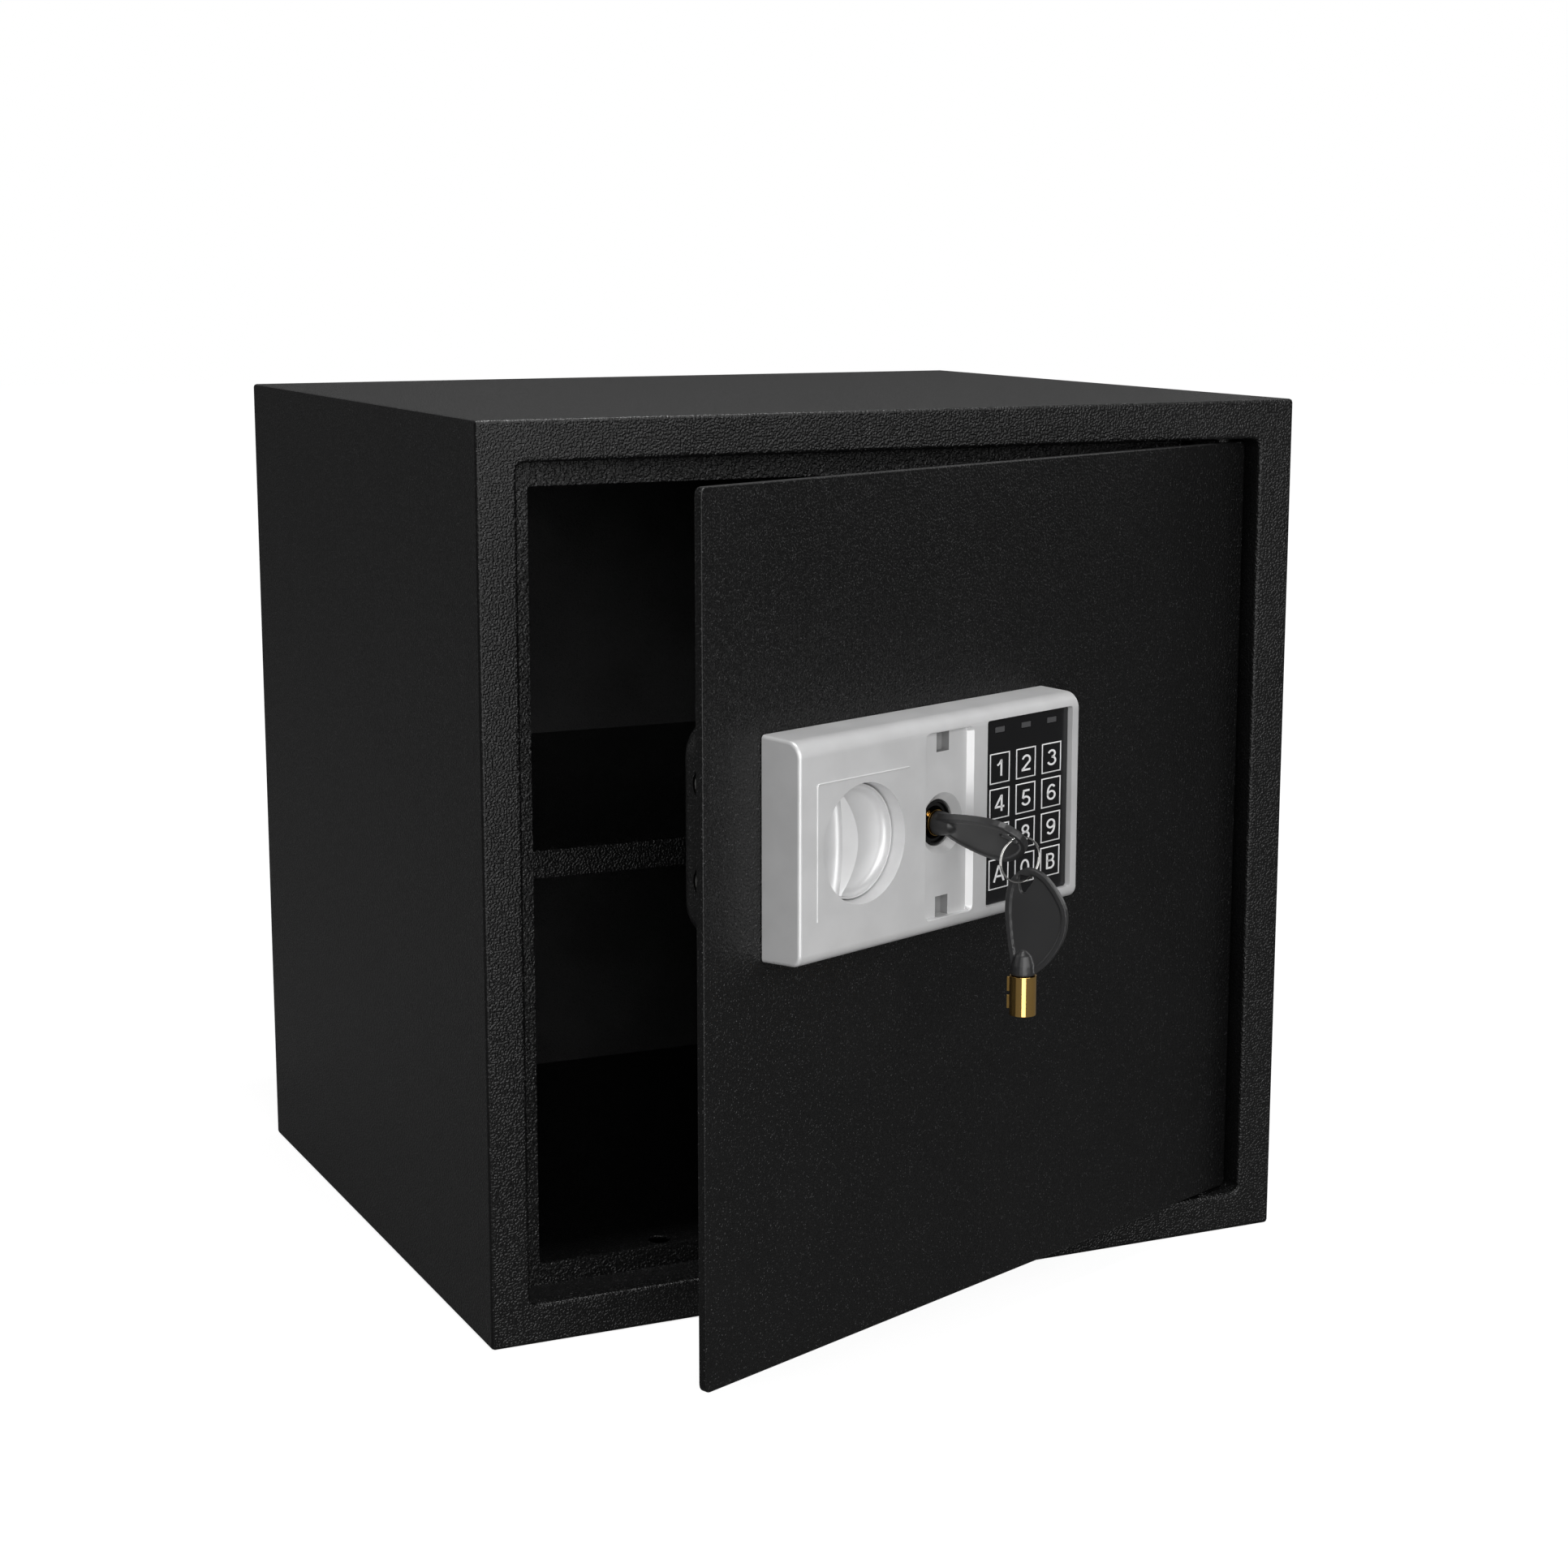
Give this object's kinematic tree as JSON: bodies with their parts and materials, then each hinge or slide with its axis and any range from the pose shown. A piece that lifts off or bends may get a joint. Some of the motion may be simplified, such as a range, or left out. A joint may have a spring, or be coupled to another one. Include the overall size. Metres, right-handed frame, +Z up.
{
  "type": "electronic safe",
  "caption": "Cube-shaped steel safe with a shelf, a side-hinged door, a keypad and knob lock panel, sliding bolts and keys on a ring.",
  "frame": {"origin": "centre of the cabinet underside", "axes": "+Z up; the door faces -Y and its hinges are at +X"},
  "size_m": [0.4, 0.4936, 0.4],
  "materials": {
    "black_steel": "wrinkle powder coat",
    "silver_plastic": "satin silver",
    "keypad_film": "glossy black",
    "lamp_lens": "smoked",
    "key_plastic": "satin dark grey",
    "brass": "polished",
    "nickel": "bright",
    "zinc": "zinc plated",
    "board": "satin green",
    "red_plastic": "gloss red",
    "cell_sleeve": "printed film"
  },
  "bodies": {
    "cabinet": {"body_shell": "black_steel", "back_panel": "black_steel", "floor_pan": "black_steel", "shelf": "black_steel", "shelf_bracket_left": "black_steel", "shelf_bracket_right": "black_steel", "hinge_bush_top": "black_steel", "hinge_bush_bottom": "black_steel"},
    "door": {"door_plate": "black_steel", "hinge_pin_top": "black_steel", "hinge_pin_bottom": "black_steel", "lock_panel": "silver_plastic", "keypad_face": "keypad_film", "status_window": "lamp_lens", "keypad_board": "board", "bolt_guide": "zinc", "guide_strip": "zinc", "solenoid_body": "zinc", "plunger_spring": "zinc", "lock_cylinder": "keypad_film", "lock_nut": "zinc", "control_board": "board", "battery_tray": "key_plastic", "battery_1": "cell_sleeve", "battery_2": "cell_sleeve", "battery_3": "cell_sleeve", "battery_4": "cell_sleeve", "mech_cover": "black_steel", "cover_screw_1": "zinc", "cover_screw_2": "zinc"},
    "knob": {"knob": "silver_plastic", "knob_spindle": "zinc", "knob_crank": "zinc"},
    "bolts": {"bolt_plate": "zinc", "bolt_upper": "zinc", "bolt_lower": "zinc"},
    "lock_barrel": {"lock_plug": "keypad_film", "lock_cam": "zinc", "key_one_head": "key_plastic", "key_one_tube": "brass"},
    "plunger": {"solenoid_plunger": "zinc"},
    "key_ring": {"key_ring": "nickel"},
    "spare_key": {"key_two_head": "key_plastic", "key_two_tube": "brass"},
    "reset_button": {"reset_button": "red_plastic"},
    "battery_lid": {"battery_lid": "key_plastic"},
    "button_1": {"button_1": "keypad_film"},
    "button_2": {"button_2": "keypad_film"},
    "button_3": {"button_3": "keypad_film"},
    "button_4": {"button_4": "keypad_film"},
    "button_5": {"button_5": "keypad_film"},
    "button_6": {"button_6": "keypad_film"},
    "button_7": {"button_7": "keypad_film"},
    "button_8": {"button_8": "keypad_film"},
    "button_9": {"button_9": "keypad_film"},
    "button_a": {"button_a": "keypad_film"},
    "button_0": {"button_0": "keypad_film"},
    "button_b": {"button_b": "keypad_film"}
  },
  "joints": [
    {"name": "door_swing", "type": "hinge", "parent": "cabinet", "child": "door", "pos_m": [0.1647, -0.1676, 0.2], "axis": [0, 0, 1], "range_deg": [-22.06, 83]},
    {"name": "knob_turn", "type": "hinge", "parent": "door", "child": "knob", "pos_m": [-0.08102, -0.29318, 0.23615], "axis": [-0.3756, 0.9268, 0], "range_deg": [0, 70]},
    {"name": "bolt_slide", "type": "slide", "parent": "door", "child": "bolts", "axis": [-0.9268, -0.3756, 0], "range_m": [0, 0.022]},
    {"name": "key_turn", "type": "hinge", "parent": "door", "child": "lock_barrel", "pos_m": [-0.03582, -0.26947, 0.23645], "axis": [0.3756, -0.9268, 0], "range_deg": [0, 90]},
    {"name": "plunger_slide", "type": "slide", "parent": "door", "child": "plunger", "axis": [0, 0, -1], "range_m": [0, 0.005], "deforming": ["plunger_spring"]},
    {"name": "ring_swing", "type": "hinge", "parent": "lock_barrel", "child": "key_ring", "pos_m": [-0.01957, -0.30594, 0.23499], "axis": [0.9975, 0.0708, 0], "range_deg": [-10, 12]},
    {"name": "spare_swing", "type": "hinge", "parent": "key_ring", "child": "spare_key", "pos_m": [-0.01387, -0.30553, 0.21774], "axis": [0.9975, 0.0708, 0], "range_deg": [-22, 12]},
    {"name": "reset_press", "type": "slide", "parent": "door", "child": "reset_button", "axis": [0.3756, -0.9268, 0], "range_m": [0, 0.0015], "stiffness_N_per_m": 400, "springref_m": -0.001},
    {"name": "lid_slide", "type": "slide", "parent": "door", "child": "battery_lid", "axis": [-0.9268, -0.3756, 0], "range_m": [0, 0.04]},
    {"name": "press_1", "type": "slide", "parent": "door", "child": "button_1", "axis": [-0.3756, 0.9268, 0], "range_m": [0, 0.0005], "stiffness_N_per_m": 600, "springref_m": -0.0005},
    {"name": "press_2", "type": "slide", "parent": "door", "child": "button_2", "axis": [-0.3756, 0.9268, 0], "range_m": [0, 0.0005], "stiffness_N_per_m": 600, "springref_m": -0.0005},
    {"name": "press_3", "type": "slide", "parent": "door", "child": "button_3", "axis": [-0.3756, 0.9268, 0], "range_m": [0, 0.0005], "stiffness_N_per_m": 600, "springref_m": -0.0005},
    {"name": "press_4", "type": "slide", "parent": "door", "child": "button_4", "axis": [-0.3756, 0.9268, 0], "range_m": [0, 0.0005], "stiffness_N_per_m": 600, "springref_m": -0.0005},
    {"name": "press_5", "type": "slide", "parent": "door", "child": "button_5", "axis": [-0.3756, 0.9268, 0], "range_m": [0, 0.0005], "stiffness_N_per_m": 600, "springref_m": -0.0005},
    {"name": "press_6", "type": "slide", "parent": "door", "child": "button_6", "axis": [-0.3756, 0.9268, 0], "range_m": [0, 0.0005], "stiffness_N_per_m": 600, "springref_m": -0.0005},
    {"name": "press_7", "type": "slide", "parent": "door", "child": "button_7", "axis": [-0.3756, 0.9268, 0], "range_m": [0, 0.0005], "stiffness_N_per_m": 600, "springref_m": -0.0005},
    {"name": "press_8", "type": "slide", "parent": "door", "child": "button_8", "axis": [-0.3756, 0.9268, 0], "range_m": [0, 0.0005], "stiffness_N_per_m": 600, "springref_m": -0.0005},
    {"name": "press_9", "type": "slide", "parent": "door", "child": "button_9", "axis": [-0.3756, 0.9268, 0], "range_m": [0, 0.0005], "stiffness_N_per_m": 600, "springref_m": -0.0005},
    {"name": "press_a", "type": "slide", "parent": "door", "child": "button_a", "axis": [-0.3756, 0.9268, 0], "range_m": [0, 0.0005], "stiffness_N_per_m": 600, "springref_m": -0.0005},
    {"name": "press_0", "type": "slide", "parent": "door", "child": "button_0", "axis": [-0.3756, 0.9268, 0], "range_m": [0, 0.0005], "stiffness_N_per_m": 600, "springref_m": -0.0005},
    {"name": "press_b", "type": "slide", "parent": "door", "child": "button_b", "axis": [-0.3756, 0.9268, 0], "range_m": [0, 0.0005], "stiffness_N_per_m": 600, "springref_m": -0.0005}
  ],
  "couplings": [
    {"joint": "knob_turn", "follows": "bolt_slide", "rad_per_m": 55.533},
    {"joint": "plunger_slide", "follows": "key_turn", "m_per_rad": 0.003183}
  ]
}
